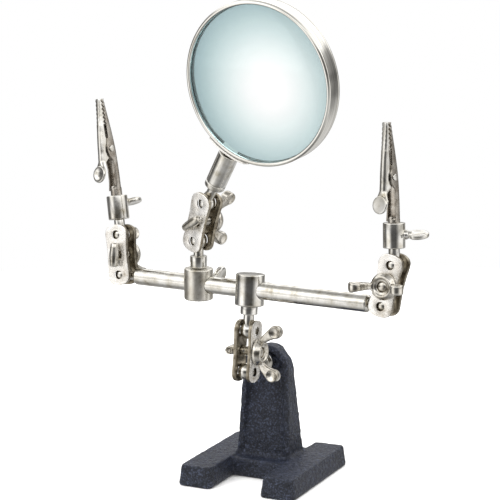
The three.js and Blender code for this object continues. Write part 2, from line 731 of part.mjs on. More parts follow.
// The curved strip that joins the ferrule to the outside of the rim, below the lens centre.
function saddle() {
  const inner = RIM_OUTER + 0.3;
  const outer = inner + SADDLE_THICKNESS;
  const half = THREE.MathUtils.degToRad(SADDLE_HALF_ANGLE);
  const shape = new THREE.Shape();
  shape.absarc(0, 0, outer, -Math.PI / 2 - half, -Math.PI / 2 + half);
  shape.absarc(0, 0, inner, -Math.PI / 2 + half, -Math.PI / 2 - half, true);
  return solid(slab(shape, -SADDLE_HALF_WIDTH, SADDLE_HALF_WIDTH, 14));
}

function ferrule() {
  const end = LENS_CENTRE - RIM_OUTER - SADDLE_THICKNESS - 0.6;
  return cut(
    solid(turned([
      [0, FERRULE_START], [FERRULE_RADIUS - 0.5, FERRULE_START], [FERRULE_RADIUS, FERRULE_START + 0.5],
      [FERRULE_RADIUS, end - 0.7], [FERRULE_RADIUS - 0.5, end - 0.2], [0, end - 0.2],
    ], 'z', 20)),
    solid(cylinder(SPIGOT_RADIUS + BORE_CLEARANCE, FERRULE_START - 1, FERRULE_START + SPIGOT_LENGTH + 0.3)),
  );
}

// ---------------------------------------------------------------- assembly

const root = new THREE.Group();

const foot = frameIn(root, [0, 0, 0]);
addPiece(foot, 'base_casting', castFoot(), castPaint);
const nut = new THREE.CylinderGeometry(4.4, 4.4, 3.2, 6).translate(0, BOSS_BACK + 0.25 + 1.6, 0);
addPiece(foot, 'base_stud_nut', cut(
  solid(nut.translate(0, 0, BASE_STUD[2])),
  solid(cylinder(STUD_THREAD_RADIUS + BORE_CLEARANCE, 0, 12, 'y').translate(0, 0, BASE_STUD[2])),
), plated);

const baseStudFrame = frameIn(foot, BASE_STUD, 'y', BASE_STUD_ROLL);
addPiece(baseStudFrame, 'base_ball_stud', baseStud(), plated);

const baseClampFrame = frameIn(baseStudFrame, [0, 0, 0], 'x', -BASE_CLAMP_LEAN);
addClamp(frameIn(baseClampFrame, [0, 0, 0], 'z', 90), 'base_clamp', -1, 90, 89);

const teeStudFrame = frameIn(baseClampFrame, [0, 0, BALL_SPACING], 'x', -TEE_STUD_LEAN);
addPiece(
  teeStudFrame, 'tee_ball_stud',
  collarStud(TEE_STUD_LENGTH - SLEEVE_HALF - 0.2, 3.5, 3.3, SHANK_RADIUS, 'z'), plated,
);

const teeSleeveFrame = frameIn(teeStudFrame, [0, 0, TEE_STUD_LENGTH], 'z', -ROD_YAW);
addPiece(teeSleeveFrame, 'tee_sleeve', sleeve(-1), plated);
addPiece(
  teeSleeveFrame, 'tee_thumb_screw', thumbScrew(ROD_RADIUS + 0.35, TEE_BLADE_START, TEE_BLADE_ANGLE), plated,
);
addPiece(teeSleeveFrame, 'cross_rod', rod(), plated);

const leftStudFrame = frameIn(teeSleeveFrame, [ROD_LEFT - END_STUD_REACH, 0, 0], 'x', -LEFT_STUD_TURN);
addPiece(leftStudFrame, 'left_end_ball_stud', endStud(1), plated);
const leftClampFrame = frameIn(leftStudFrame, [0, 0, 0], 'y', LEFT_CLAMP_LEAN);
addClamp(leftClampFrame, 'left_clamp', 1, 8, 78);
addClip(leftClampFrame, 'left', LEFT_CLIP_LEAN, LEFT_SOCKET_TURN, LEFT_SCREW_POSE, LEFT_CLIP_RAISED);

const rightStudFrame = frameIn(teeSleeveFrame, [ROD_RIGHT + END_STUD_REACH, 0, 0], 'x', -RIGHT_STUD_TURN);
addPiece(rightStudFrame, 'right_end_ball_stud', endStud(-1), plated);
const rightClampFrame = frameIn(rightStudFrame, [0, 0, 0], 'y', RIGHT_CLAMP_LEAN);
addClamp(rightClampFrame, 'right_clamp', -1, 0, 14);
addClip(rightClampFrame, 'right', RIGHT_CLIP_LEAN, RIGHT_SOCKET_TURN, RIGHT_SCREW_POSE, 0);

const magSleeveFrame = frameIn(teeSleeveFrame, [MAG_SLEEVE_X, 0, 0], 'x', -MAG_SLEEVE_TURN);
addPiece(magSleeveFrame, 'magnifier_sleeve', sleeve(1), plated);
addPiece(
  magSleeveFrame, 'magnifier_thumb_screw',
  thumbScrew(ROD_RADIUS + 0.35, MAG_BLADE_START, MAG_BLADE_ANGLE), plated,
);
const magStudFrame = frameIn(magSleeveFrame, [0, 0, MAG_STUD_LENGTH], 'z', MAG_CLAMP_TURN);
const magStudTurn = frameIn(magStudFrame, [0, 0, 0], 'x', 180);
addPiece(
  magStudTurn, 'magnifier_ball_stud',
  collarStud(MAG_STUD_LENGTH - SLEEVE_HALF - 0.2, 3.4, 4.8, 2, 'z'), plated,
);
const magClampFrame = frameIn(magStudFrame, [0, 0, 0], 'y', MAG_CLAMP_LEAN);
addClamp(magClampFrame, 'magnifier_clamp', 1, 42, 88);

const handleFrame = frameIn(magClampFrame, [0, 0, BALL_SPACING], 'y', MAG_HANDLE_LEAN);
addPiece(
  handleFrame, 'magnifier_handle_ball_stud', collarStud(FERRULE_START - 0.2, 2.6, 0.8, 2.1, 'z'), plated,
);
const headFrame = frameIn(handleFrame, [0, 0, 0], 'z', MAG_HEAD_TURN);
addPiece(headFrame, 'magnifier_ferrule', ferrule(), plated);
const lensFrame = frameIn(headFrame, [0, 0, LENS_CENTRE]);
addPiece(lensFrame, 'magnifier_saddle', saddle(), platedSheet);
addPiece(lensFrame, 'magnifier_rim', magnifierRim(), plated);
addPiece(lensFrame, 'magnifier_lens', magnifierLens(), glass);
addPiece(lensFrame, 'magnifier_retaining_ring', retainingRing(), springSteel);

export default root;
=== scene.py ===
"""Looks for the helping hands clamp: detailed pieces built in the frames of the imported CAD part."""

import json
import math

import bmesh
import bpy
from mathutils import Matrix, Vector, noise

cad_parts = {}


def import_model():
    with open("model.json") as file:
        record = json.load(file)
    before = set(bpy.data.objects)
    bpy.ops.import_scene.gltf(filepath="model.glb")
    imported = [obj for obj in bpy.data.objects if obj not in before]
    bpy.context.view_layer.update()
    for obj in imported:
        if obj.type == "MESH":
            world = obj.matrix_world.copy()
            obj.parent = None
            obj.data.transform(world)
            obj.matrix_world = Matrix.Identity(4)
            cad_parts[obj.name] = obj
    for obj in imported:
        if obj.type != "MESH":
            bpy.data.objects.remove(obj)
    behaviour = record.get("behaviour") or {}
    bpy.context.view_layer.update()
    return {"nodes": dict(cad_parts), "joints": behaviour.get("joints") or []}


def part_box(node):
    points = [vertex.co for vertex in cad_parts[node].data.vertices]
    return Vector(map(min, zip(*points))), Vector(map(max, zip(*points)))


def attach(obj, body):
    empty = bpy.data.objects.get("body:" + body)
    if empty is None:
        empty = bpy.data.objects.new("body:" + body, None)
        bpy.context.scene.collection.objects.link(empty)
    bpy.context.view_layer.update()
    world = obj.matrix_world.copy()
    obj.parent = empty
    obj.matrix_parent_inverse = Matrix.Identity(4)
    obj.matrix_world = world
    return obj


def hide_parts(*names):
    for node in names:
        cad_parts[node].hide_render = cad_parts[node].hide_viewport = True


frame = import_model()

MM = 0.001
SHARP = math.radians(32)
UP = Vector((0, 0, 1))
JOINTS = {joint["name"]: joint for joint in frame["joints"]}

# Dimensions in millimetres, the same as those of the CAD part.
BOSS_FRONT = -3.6
BOSS_BACK = 4
BALL_RADIUS = 3.4
SHANK_RADIUS = 2.2
STUD_THREAD_RADIUS = 2.5
SPIGOT_RADIUS = 1.9
BORE_CLEARANCE = 0.12
BALL_SPACING = 16.5
PLATE_INNER = 2.35
PLATE_OUTER = 3.95
PLATE_HALF_WIDTH = 5.1
PLATE_END_REACH = 4.2
PLATE_WAIST = 0.5
SEAT_INNER_RADIUS = 2.72
SEAT_OUTER_RADIUS = 1.65
BOLT_RADIUS = 2.0
BOLT_TIP = 6.7
WING_REACH = 8.7
WING_RISE = 7.8
WING_TIP_RADIUS = 2.7
CLIP_BLADE_START = 5.3
TEE_BLADE_START = 9.5
ROD_RADIUS = 3.5
END_REACH = 6.2
END_BORE = 7.0
SLEEVE_RADIUS = 5.9
SLEEVE_HALF = 6.4
SOCKET_START = 6.3
SOCKET_LENGTH = 9.8
SOCKET_RADIUS = 4.3
SOCKET_BORE_RADIUS = 2.6
SOCKET_BORE_DEPTH = 8
TAIL_RADIUS = 2.35
TAIL_LENGTH = 7.4
PIVOT_Y = -2.6
PIVOT_Z = 17.5
TIP_Z = 38.3
TEETH_START = 28.0
PAD_CENTRE = (0, -8.4, 7.2)
PAD_RADIUS = 3.5
PAD_TILT = 8
FERRULE_START = 8.2
FERRULE_RADIUS = 4.2
LENS_CENTRE = 58.8
LENS_EDGE = 1.1
LENS_BULGE = 2.3
RIM_OUTER = 32.5
RIM_LIP = 30.9
RIM_INNER = 31.7
RIM_HALF_DEPTH = 4.0
SNAP_RING_RADIUS = 30.95
SADDLE_THICKNESS = 1.0
SADDLE_HALF_WIDTH = 3.4
SADDLE_HALF_ANGLE = 17.5

# More dimensions in millimetres, which only the looks have.
THREAD_PITCH = 0.8
THREAD_DEPTH = 0.28
COLLAR_GAP = 0.25
SLEEVE_GAP = 0.2
NUT_GAP = 0.25
BASE_STUD_END = 5.4
STUD_BORE = 2.02
SCREW_BORE = 1.74
SCREW_TIP = 3.85
MAG_BLADE_START = 12.0
END_STUD_SHANK = 1.7
END_BORE_RADIUS = 1.82
SHEET_THICKNESS = 0.62
ROW_STEP = 0.45
TEETH = 6
SPRING_COIL = 1.45
SPRING_WIRE = 0.3
SPRING_TURNS = 2.3
SNAP_RING_WIRE = 0.55
LENS_RADIUS = 31.2
LENS_MIDDLE = -1.7

# The voxel sizes of the castings, and the angle under which their edges stay smooth.
FINE_VOXEL = 0.17
FOOT_VOXEL = 0.55
SOFT = math.radians(60)

# The studio, in metres: the camera, its aim point and its focal length and sensor width in millimetres.
CAMERA_PLACE = (0.3395, -0.7321, 0.2581)
CAMERA_AIM = (-0.00915, -0.00057, 0.09215)
FOCAL_LENGTH = 146.5
SENSOR_WIDTH = 36
FLOOR_RADIUS = 0.42

# Brightness of the surround. CEILING and LOW_DOWN go by elevation, from straight down to straight up. STRIPS goes
# by direction round the object, and LOW_DOWN dims it with height.
CEILING = [
    (0.0, 0.12), (0.15, 0.25), (0.25, 0.42), (0.35, 0.45), (0.41, 0.22), (0.44, 0.06), (0.5, 0.05), (0.56, 0.1),
    (0.61, 0.25), (0.65, 1.3), (0.74, 1.35), (0.83, 0.5), (1.0, 0.36),
]
LOW_DOWN = [
    (0.12, 0.1), (0.2, 0.2), (0.37, 0.5), (0.43, 1.0), (0.48, 1.1), (0.512, 0.55), (0.54, 0.95), (0.62, 0.9),
    (0.7, 0.3), (0.82, 0.1),
]
STRIPS = [
    (0.0, 0.08), (0.045, 0.1), (0.08, 0.6), (0.115, 1.2), (0.165, 1.25), (0.195, 0.7), (0.23, 0.14), (0.265, 0.05),
    (0.36, 0.04), (0.4, 0.25), (0.44, 0.7), (0.48, 1.0), (0.57, 1.0), (0.61, 0.3), (0.65, 0.07), (0.7, 0.5),
    (0.8, 0.5), (0.93, 0.12),
]


# ------------------------------------------------------------------ frames

def point(name):
    return Vector(JOINTS[name]["pos_m"])


def axis(name):
    return Vector(JOINTS[name]["axis"]).normalized()


def frame_at(origin, z, x):
    """A frame at origin along z, with x squared to it."""
    z = z.normalized()
    x = (x - z * x.dot(z)).normalized()
    m = Matrix((x, z.cross(x), z)).transposed().to_4x4()
    m.translation = origin
    return m


def shifted(m, z, y=0.0):
    """The frame m moved along its own Y and Z, in millimetres."""
    return m @ Matrix.Translation(Vector((0, y, z)) * MM)


def widest(node, origin, along):
    """The direction, square to along, in which the points of a CAD node spread most about that axis."""
    x = along.orthogonal().normalized()
    y = along.cross(x)
    xx = yy = xy = 0.0
    for vertex in frame["nodes"][node].data.vertices:
        arm = vertex.co - origin
        u, v = arm.dot(x), arm.dot(y)
        xx, yy, xy = xx + u * u, yy + v * v, xy + u * v
    turn = 0.5 * math.atan2(2 * xy, xx - yy)
    return x * math.cos(turn) + y * math.sin(turn)


# ------------------------------------------------------------------ mesh tools

def turned_to(bm, direction):
    """Turns a mesh made about Z to stand about another axis."""
    rows = {"x": ((0, 0, 1), (1, 0, 0), (0, 1, 0)), "y": ((0, 1, 0), (0, 0, 1), (1, 0, 0))}
    if direction != "z":
        bm.transform(Matrix(rows[direction]).to_4x4())
    return bm


def rounded(points, radius, steps=3):
    """Rounds the sharper corners of a profile of (radius, height) points."""
    out = [points[0]]
    for before, at, after in zip(points, points[1:], points[2:]):
        a, p, b = Vector(before), Vector(at), Vector(after)
        u, v = a - p, b - p
        if u.angle(v) > math.radians(150):
            out.append(at)
            continue
        cut = min(radius, u.length * 0.45, v.length * 0.45)
        s, e = p + u.normalized() * cut, p + v.normalized() * cut
        for k in range(steps + 1):
            t = k / steps
            out.append(tuple(s * (1 - t) ** 2 + p * 2 * t * (1 - t) + e * t * t))
    out.append(points[-1])
    return out


def lathe(profile, direction, segments=64):
    """Turns (radius, height) points about an axis. A profile that starts on the axis ends there too, and any
    other closes on itself."""
    bm = bmesh.new()
    angles = [2 * math.pi * i / segments for i in range(segments)]
    rings = []
    for r, h in profile:
        around = [(r * math.cos(a), r * math.sin(a), h) for a in angles] if r > 1e-6 else [(0, 0, h)]
        rings.append([bm.verts.new(co) for co in around])
    following = rings[1:] if profile[0][0] < 1e-6 else rings[1:] + rings[:1]
    for a, b in zip(rings, following):
        for i in range(segments):
            corners = []
            for ring, k in ((a, i), (a, i + 1), (b, i + 1), (b, i)):
                vert = ring[k % len(ring)]
                if vert not in corners:
                    corners.append(vert)
            if len(corners) > 2:
                bm.faces.new(corners)
    return turned_to(bm, direction)


def loft(rings):
    """Joins equal closed rings of points and caps both ends."""
    return stacked([rings])


def stacked(contours):
    """A solid from contours, the outline first and then its holes. Each is a list of equal closed rings."""
    bm = bmesh.new()
    ends = ([], [])
    for rings in contours:
        rows = [[bm.verts.new(co) for co in ring] for ring in rings]
        count = len(rows[0])
        for a, b in zip(rows, rows[1:]):
            for i in range(count):
                j = (i + 1) % count
                bm.faces.new((a[i], a[j], b[j], b[i]))
        for end, row in zip(ends, (rows[0], rows[-1])):
            end.extend(bm.edges.get((row[i], row[(i + 1) % count])) for i in range(count))
    for edges in ends:
        bmesh.ops.triangle_fill(bm, use_beauty=True, use_dissolve=False, edges=edges)
    return bm


def inset(loop, distance):
    """Moves each point of a closed loop to its left by distance, which is into the material."""
    out = []
    count = len(loop)
    for i, (x, z) in enumerate(loop):
        ax, az = loop[i - 1]
        bx, bz = loop[(i + 1) % count]
        length = math.hypot(bx - ax, bz - az)
        out.append((x - (bz - az) / length * distance, z + (bx - ax) / length * distance))
    return out


def slab(outline, holes, low, high, bevel, flares=()):
    """A plate in X and Z between two heights in Y, with rounded edges. A hole may widen towards low by a flare."""
    span = high - low
    steps = [(0, 1), (0.12, 0.5), (0.4, 0.15), (1, 0)]
    levels = [(low + bevel * h, bevel * i) for h, i in steps]
    levels += [(high - bevel * h, bevel * i) for h, i in reversed(steps)]
    contours = []
    for k, loop in enumerate([outline, *holes]):
        flare = flares[k - 1] if k and flares else 0
        contours.append([
            [(x, y, z) for x, z in inset(loop, move + flare * (high - y) / span)] for y, move in levels
        ])
    return stacked(contours)


def circle(x, z, radius, count):
    """A hole's loop, clockwise so that the material is to its left."""
    angles = [-2 * math.pi * i / count for i in range(count)]
    return [(x + radius * math.cos(a), z + radius * math.sin(a)) for a in angles]


def tube(path, radius):
    """A round wire along a path of points."""
    sides = 12
    rings = []
    side = UP.cross(path[1] - path[0])
    if side.length < 1e-6:
        side = Vector((1, 0, 0))
    for i, p in enumerate(path):
        ahead = (path[min(i + 1, len(path) - 1)] - path[max(i - 1, 0)]).normalized()
        side = (side - ahead * side.dot(ahead)).normalized()
        up = ahead.cross(side)
        turns = [2 * math.pi * k / sides for k in range(sides)]
        rings.append([p + (side * math.cos(a) + up * math.sin(a)) * radius for a in turns])
    return loft(rings)


def with_modifier(parts, kind, **settings):
    """Runs one modifier on the first mesh; any others are joined as its second operand."""
    made = []
    for bm in parts:
        bmesh.ops.recalc_face_normals(bm, faces=bm.faces)
        mesh = bpy.data.meshes.new("work")
        bm.to_mesh(mesh)
        bm.free()
        obj = bpy.data.objects.new("work", mesh)
        bpy.context.scene.collection.objects.link(obj)
        made.append(obj)
    modifier = made[0].modifiers.new("work", kind)
    if kind == "BOOLEAN":
        modifier.object = made[1]
        modifier.solver = "EXACT"
    for key, value in settings.items():
        setattr(modifier, key, value)
    evaluated = made[0].evaluated_get(bpy.context.evaluated_depsgraph_get())
    bm = bmesh.new()
    bm.from_mesh(evaluated.to_mesh())
    evaluated.to_mesh_clear()
    for obj in made:
        mesh = obj.data
        bpy.data.objects.remove(obj)
        bpy.data.meshes.remove(mesh)
    return bm


def boolean(a, b, operation="DIFFERENCE"):
    return with_modifier([a, b], "BOOLEAN", operation=operation)


def together(*parts):
    """One mesh of several overlapping closed shells."""
    whole = bmesh.new()
    for bm in parts:
        mesh = bpy.data.meshes.new("work")
        bm.to_mesh(mesh)
        bm.free()
        whole.from_mesh(mesh)
        bpy.data.meshes.remove(mesh)
    return whole


def cast(parts, voxel, smoothing):
    """Melts overlapping shells into one soft-edged casting."""
    bm = with_modifier([together(*parts)], "REMESH", mode="VOXEL", voxel_size=voxel)
    for _ in range(smoothing):
        bmesh.ops.smooth_vert(bm, verts=bm.verts, factor=0.5, use_axis_x=True, use_axis_y=True, use_axis_z=True)
    return bm


def piece(name, bm, at, body, material, node, sharp=SHARP, edge_material=None):
    """Puts a mesh made in millimetres into its frame, and hands it over to the CAD body and node it stands for.
    An edge material goes on every face that doesn't look along Y away from the origin of the mesh; on the clamp
    plates it is tarnish on the cut edges and painted shade on the inner faces and hole walls."""
    if edge_material:
        bm.normal_update()
        bmesh.ops.recalc_face_normals(bm, faces=bm.faces)
        bm.normal_update()
        for face in bm.faces:
            outward = face.normal.y * math.copysign(1, face.calc_center_median().y)
            face.material_index = 0 if outward > 0.45 else 1
    bm.transform(at @ Matrix.Scale(MM, 4))
    bmesh.ops.recalc_face_normals(bm, faces=bm.faces)
    for edge in bm.edges:
        edge.smooth = len(edge.link_faces) != 2 or edge.calc_face_angle(0) < sharp
    for face in bm.faces:
        face.smooth = True
    mesh = bpy.data.meshes.new(name)
    bm.to_mesh(mesh)
    bm.free()
    obj = bpy.data.objects.new(name, mesh)
    bpy.context.scene.collection.objects.link(obj)
    mesh.materials.append(material)
    if edge_material:
        mesh.materials.append(edge_material)
    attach(obj, body)
    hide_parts(node)


# ------------------------------------------------------------------ materials

def add_node(tree, kind, inputs, **settings):
    """A shader node with some settings; an input is a value or the socket to link to it."""
    node = tree.nodes.new(kind)
    for key, value in settings.items():
        setattr(node, key, value)
    for key, value in inputs.items():
        if isinstance(value, bpy.types.NodeSocket):
            tree.links.new(value, node.inputs[key])
        else:
            node.inputs[key].default_value = value
    return node


def add_ramp(tree, value, stops):
    """A colour ramp through (position, colour) stops, in which a colour is (red, green, blue)."""
    node = add_node(tree, "ShaderNodeValToRGB", {"Fac": value})
    elements = node.color_ramp.elements
    while len(elements) < len(stops):
        elements.new(0.5)
    for element, (position, color) in zip(elements, stops):
        element.position = position
        element.color = (*color, 1)
    return node


class Nodes:
    """A short way to wire the nodes of one material."""

    def __init__(self, name):
        self.material = bpy.data.materials.new(name)
        self.material.use_nodes = True
        self.tree = self.material.node_tree
        self.shader = self.tree.nodes["Principled BSDF"]
        self.place = self.add("ShaderNodeTexCoord", {}).outputs["Object"]

    def add(self, kind, inputs, **settings):
        return add_node(self.tree, kind, inputs, **settings)

    def noise(self, scale, detail=3.0, roughness=0.55, stretch=None):
        vector = self.place
        if stretch:
            vector = self.add("ShaderNodeMapping", {"Vector": self.place, "Scale": stretch}).outputs["Vector"]
        inputs = {"Vector": vector, "Scale": scale, "Detail": detail, "Roughness": roughness}
        return self.add("ShaderNodeTexNoise", inputs).outputs["Fac"]

    def ramp(self, value, stops):
        return add_ramp(self.tree, value, stops).outputs["Color"]

    def spread(self, value, low, high):
        inputs = {"Value": value, "From Min": 0.3, "From Max": 0.7, "To Min": low, "To Max": high}
        return self.add("ShaderNodeMapRange", inputs).outputs["Result"]

    def bump(self, height, strength, distance, normal=None):
        inputs = {"Height": height, "Strength": strength, "Distance": distance}
        if normal:
            inputs["Normal"] = normal
        return self.add("ShaderNodeBump", inputs).outputs["Normal"]

    def wire(self, **sockets):
        for key, value in sockets.items():
            target = self.shader.inputs[key.replace("_", " ")]
            if isinstance(value, bpy.types.NodeSocket):
                self.tree.links.new(value, target)
            else:
                target.default_value = value
        return self.material


def plated(name, bright, dull, stain, smooth, rough, pitting, patches=230, metallic=1.0):
    """Nickel plating with faint stains, fine scratches and slightly pitted metal under it."""
    n = Nodes(name)
    tint = n.ramp(n.noise(patches, 5), [(0.26, stain), (0.4, dull), (0.6, bright)])
    wear = n.noise(900, 3)
    scratch = n.noise(1, 2, stretch=(5200, 5200, 420))
    waves = n.bump(n.noise(420, 2), pitting, 0.00012)
    grain = n.bump(n.noise(2600, 2), pitting * 0.6, 0.00004, waves)
    normal = n.bump(scratch, 0.06, 0.00003, grain)
    return n.wire(Base_Color=tint, Metallic=metallic, Roughness=n.spread(wear, smooth, rough), Normal=normal)


def brushed(name, direction):
    """Nickel with fine brush lines that run square to a direction."""
    n = Nodes(name)
    along = n.add("ShaderNodeVectorMath", {0: n.place, 1: direction}, operation="DOT_PRODUCT").outputs["Value"]
    lines = n.add("ShaderNodeCombineXYZ", {"X": along}).outputs["Vector"]
    slow = n.add("ShaderNodeMapping", {"Vector": n.place, "Scale": (30, 30, 30)}).outputs["Vector"]
    fast = n.add("ShaderNodeMapping", {"Vector": lines, "Scale": (3200, 1, 1)}).outputs["Vector"]
    place = n.add("ShaderNodeVectorMath", {0: slow, 1: fast}, operation="ADD").outputs["Vector"]
    streak = n.add("ShaderNodeTexNoise", {"Vector": place, "Scale": 1.0, "Detail": 3.0}).outputs["Fac"]
    tint = n.ramp(streak, [(0.34, (0.52, 0.5, 0.45)), (0.5, (0.88, 0.87, 0.83))])
    return n.wire(
        Base_Color=tint, Metallic=1.0, Roughness=n.spread(streak, 0.08, 0.2), Normal=n.bump(streak, 0.25, 0.00008),
    )


def cast_paint():
    """Thick dark paint over a rough sand casting, with small bright flecks where the grain is proud, which are
    painted glints.
    """
    n = Nodes("cast_paint")
    fine = n.noise(1450, 4, 0.7)
    broad = n.ramp(n.noise(110, 4), [(0.3, (0.003, 0.0045, 0.009)), (0.7, (0.01, 0.013, 0.024))])
    # The bright flecks are painted glints on the proud grain.
    glint_flecks = n.ramp(fine, [(0.5, (0, 0, 0)), (0.66, (0.062, 0.074, 0.115))])
    color = n.add("ShaderNodeMixRGB", {"Fac": 1.0, "Color1": broad, "Color2": glint_flecks}, blend_type="ADD").outputs[0]
    grain = n.bump(fine, 1.0, 0.0005)
    lumps = n.bump(n.noise(560, 3, 0.6), 1.0, 0.0009, grain)
    return n.wire(Base_Color=color, Roughness=n.spread(n.noise(800, 3), 0.3, 0.5), Normal=lumps)


def lens_glass(centre):
    """Clear lens whose colour carries painted light: white round a point set off its centre as a painted highlight,
    and blue-green towards its edge as the glass's tint deepened by painted shade.
    """
    n = Nodes("lens_glass")
    away = n.add("ShaderNodeVectorMath", {0: n.place, 1: centre}, operation="DISTANCE").outputs["Value"]
    share = n.add("ShaderNodeMapRange", {"Value": away, "From Min": 0.0, "From Max": 0.036})
    # The white stops are a painted highlight; the blue-green stops are the glass's tint deepened by painted shade.
    stops = [
        (0.0, (1.0, 1.0, 1.0)), (0.22, (1.0, 1.0, 1.0)), (0.45, (0.8, 0.885, 0.88)), (0.64, (0.6, 0.725, 0.73)),
        (0.82, (0.43, 0.565, 0.58)), (1.0, (0.29, 0.42, 0.45)),
    ]
    color = n.ramp(share.outputs["Result"], stops)
    haze = n.spread(n.noise(60, 2), 0.02, 0.06)
    normal = n.bump(n.noise(45, 2), 0.02, 0.0004)
    return n.wire(
        Base_Color=color, Roughness=haze, IOR=1.5, Transmission_Weight=0.94, Coat_Weight=0.2, Normal=normal,
    )


CHROME = plated(
    "bright_nickel", (0.82, 0.812, 0.785), (0.65, 0.63, 0.575), (0.42, 0.38, 0.3), 0.07, 0.17, 0.12,
)
SATIN = plated(
    "satin_nickel", (0.82, 0.8, 0.745), (0.64, 0.61, 0.54), (0.45, 0.41, 0.33), 0.26, 0.36, 0.2,
)
SHEET = plated(
    "plated_sheet_metal", (0.9, 0.885, 0.86), (0.68, 0.65, 0.6), (0.42, 0.37, 0.3), 0.16, 0.32, 0.2, metallic=0.7,
)
# Tarnish on the plates' cut edges, and painted shade on their inner faces and hole walls, between the plates.
TARNISH_AND_SHADE = plated(
    "tarnished_edge_and_painted_shade", (0.45, 0.41, 0.33), (0.26, 0.225, 0.17), (0.12, 0.1, 0.07), 0.25, 0.42, 0.25, 500,
)
# Darker plated sheet, used all over the fixed jaws.
DARK_SHEET = plated(
    "dark_sheet_metal", (0.6, 0.57, 0.52), (0.4, 0.36, 0.31), (0.2, 0.165, 0.13), 0.18, 0.34, 0.25, 300,
)
CAST = plated(
    "cast_nickel", (0.76, 0.735, 0.68), (0.46, 0.43, 0.37), (0.2, 0.17, 0.13), 0.1, 0.24, 0.3, 320,
)
SPRING = plated("spring_wire", (0.5, 0.49, 0.46), (0.3, 0.29, 0.27), (0.2, 0.18, 0.15), 0.25, 0.4, 0.1)
PAINT = cast_paint()


# ------------------------------------------------------------------ ball studs

def ball_points(shank):
    """The profile of a ball at the origin up to where its shank starts."""
    steps = 18
    end = math.pi - math.asin(shank / BALL_RADIUS)
    points = [(0, -BALL_RADIUS)]
    for i in range(1, steps + 1):
        a = end * i / steps
        points.append((BALL_RADIUS * math.sin(a), -BALL_RADIUS * math.cos(a)))
    return points


def stud(shank, neck, direction="z"):
    """A ball, its shank with a small fillet, and the turned end given by neck."""
    join = ball_points(shank)
    foot = join[-1][1]
    body = [(shank, foot + 0.5), *neck]
    return lathe(join + rounded(body, 0.35), direction)


def collared(name, origin, z, x, body, seat, radius, height, shank):
    """A ball stud with a collar that ends at seat and a spigot above it."""
    neck = [
        (shank, seat - height), (radius, seat - height), (radius, seat - 0.1), (SPIGOT_RADIUS, seat - 0.1),
        (SPIGOT_RADIUS, seat + 1.6), (0, seat + 1.6),
    ]
    at = frame_at(origin, z, x)
    piece(name, stud(shank, neck), at, body, CHROME, name)


def ridged(radius, start, end):
    """A threaded length: ridges along a profile from start to end."""
    points = []
    count = max(1, int(abs(end - start) / THREAD_PITCH))
    step = (end - start) / count
    for i in range(count):
        h = start + step * i
        points += [(radius - THREAD_DEPTH, h), (radius, h + step * 0.5)]
    points.append((radius - THREAD_DEPTH, end))
    return points


# ------------------------------------------------------------------ double ball clamps

def arc_points(cx, cz, rx, rz, start, end, count):
    out = []
    for i in range(count + 1):
        a = start + (end - start) * i / count
        out.append((cx + rx * math.cos(a), cz + rz * math.sin(a)))
    return out


def plate_outline():
    """Counter-clockwise outline of a clamp plate: two broad rounded ends and slightly waisted sides."""
    half, reach = PLATE_HALF_WIDTH, PLATE_END_REACH
    power = 0.82
    points = []
    for centre, turn in ((0, math.pi), (BALL_SPACING, 0)):
        for i in range(19):
            a = turn + math.pi * i / 18
            c, s = math.cos(a), math.sin(a)
            x = half * math.copysign(abs(c) ** power, c)
            points.append((x, centre + reach * math.copysign(abs(s) ** power, s)))
        side = 1 if centre == 0 else -1
        for k in range(1, 10):
            t = k / 10
            z = BALL_SPACING * (t if side > 0 else 1 - t)
            points.append((side * (half - PLATE_WAIST * math.sin(math.pi * t)), z))
    return points


def clamp_plate(side):
    """One plate; its ball seats widen towards the inner face."""
    middle = BALL_SPACING / 2
    holes = [circle(0, z, SEAT_OUTER_RADIUS, 40) for z in (0, BALL_SPACING)] + [circle(0, middle, 2.25, 32)]
    flare = SEAT_INNER_RADIUS - SEAT_OUTER_RADIUS
    bm = slab(plate_outline(), holes, PLATE_INNER, PLATE_OUTER, 0.28, (flare, flare, 0))
    if side < 0:
        bm.transform(Matrix.Scale(-1, 4, (0, 1, 0)))
    return bm


def clamp_bolt():
    """The bolt along +Y, with a round cross bar as its head on the far side and a threaded end."""
    face = PLATE_OUTER + NUT_GAP
    head = lathe(rounded([
        (0, -3.9), (0.7, -4.0), (1.0, -4.65), (1.35, -4.85), (1.6, -4.4), (1.8, -2.8), (2.0, 0), (1.8, 2.8),
        (1.6, 4.4), (1.35, 4.85), (1.0, 4.65), (0.7, 4.0), (0, 3.9),
    ], 0.3), "z", 40)
    head.transform(Matrix.Translation((0, -face - 1.85, 0)))
    shank = [(0, -face - 1.2), (1.7, -face - 1.2), (1.7, -1), *ridged(BOLT_RADIUS, -1, BOLT_TIP - 0.3)]
    shank += [(1.2, BOLT_TIP), (0, BOLT_TIP)]
    return together(head, lathe(shank, "y", 32))


